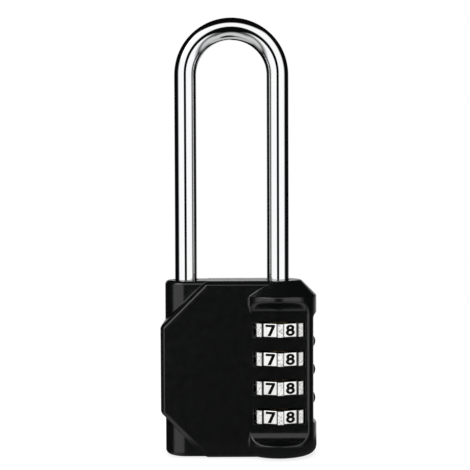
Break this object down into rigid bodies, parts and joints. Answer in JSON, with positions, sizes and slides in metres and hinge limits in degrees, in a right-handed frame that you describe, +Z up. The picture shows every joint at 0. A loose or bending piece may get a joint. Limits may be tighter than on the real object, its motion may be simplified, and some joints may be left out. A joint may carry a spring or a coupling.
{
  "type": "combination padlock",
  "caption": "Long-shackle resettable combination padlock with number dials in a faceted cast body; the shackle lifts once the dials line up.",
  "frame": {"origin": "centre of the flat base, below the middle of the body", "axes": "+Z up along the shackle legs, -Y out of the front face that shows the dials, +X towards the dial side"},
  "size_m": [0.0436, 0.0216, 0.1224],
  "materials": {
    "body_paint": "gloss black paint on cast zinc",
    "plug_steel": "blackened steel",
    "pin_steel": "dark plated steel",
    "spring_steel": "bright spring steel",
    "shackle_chrome": "polished chrome plate",
    "dial_metal": "pale satin",
    "numeral_paint": "black filled numerals",
    "sleeve_brass": "turned brass"
  },
  "bodies": {
    "body": {"front_shell": "body_paint", "rear_shell": "body_paint", "bottom_plug": "plug_steel", "drive_pins": "pin_steel", "click_spring": "spring_steel", "reset_spring": "spring_steel"},
    "shackle": {"shackle": "shackle_chrome"},
    "dial_1": {"dial_1": "dial_metal", "numerals_1": "numeral_paint"},
    "sleeve_1": {"sleeve_1": "sleeve_brass"},
    "dial_2": {"dial_2": "dial_metal", "numerals_2": "numeral_paint"},
    "sleeve_2": {"sleeve_2": "sleeve_brass"},
    "dial_3": {"dial_3": "dial_metal", "numerals_3": "numeral_paint"},
    "sleeve_3": {"sleeve_3": "sleeve_brass"},
    "dial_4": {"dial_4": "dial_metal", "numerals_4": "numeral_paint"},
    "sleeve_4": {"sleeve_4": "sleeve_brass", "thrust_washer": "spring_steel"}
  },
  "joints": [
    {"name": "shackle_lift", "type": "slide", "parent": "body", "child": "shackle", "axis": [0, 0, 1], "range_m": [0, 0.008]},
    {"name": "dial_1_turn", "type": "hinge", "parent": "body", "child": "dial_1", "pos_m": [0.011, 0, 0.0356], "axis": [0, 0, 1], "continuous": true, "deforming": ["click_spring"]},
    {"name": "dial_2_turn", "type": "hinge", "parent": "body", "child": "dial_2", "pos_m": [0.011, 0, 0.0276], "axis": [0, 0, 1], "continuous": true, "deforming": ["click_spring"]},
    {"name": "dial_3_turn", "type": "hinge", "parent": "body", "child": "dial_3", "pos_m": [0.011, 0, 0.0196], "axis": [0, 0, 1], "continuous": true, "deforming": ["click_spring"]},
    {"name": "dial_4_turn", "type": "hinge", "parent": "body", "child": "dial_4", "pos_m": [0.011, 0, 0.0116], "axis": [0, 0, 1], "continuous": true, "deforming": ["click_spring"]},
    {"name": "sleeve_4_reset", "type": "slide", "parent": "dial_4", "child": "sleeve_4", "axis": [0, 0, -1], "range_m": [0, 0.0016], "stiffness_N_per_m": 400, "springref_m": -0.003, "deforming": ["reset_spring"]},
    {"name": "sleeve_3_reset", "type": "slide", "parent": "dial_3", "child": "sleeve_3", "axis": [0, 0, -1], "range_m": [0, 0.0016]},
    {"name": "sleeve_2_reset", "type": "slide", "parent": "dial_2", "child": "sleeve_2", "axis": [0, 0, -1], "range_m": [0, 0.0016]},
    {"name": "sleeve_1_reset", "type": "slide", "parent": "dial_1", "child": "sleeve_1", "axis": [0, 0, -1], "range_m": [0, 0.0016]}
  ],
  "couplings": [
    {"joint": "sleeve_1_reset", "follows": "sleeve_4_reset", "ratio": 1},
    {"joint": "sleeve_2_reset", "follows": "sleeve_4_reset", "ratio": 1},
    {"joint": "sleeve_3_reset", "follows": "sleeve_4_reset", "ratio": 1}
  ]
}
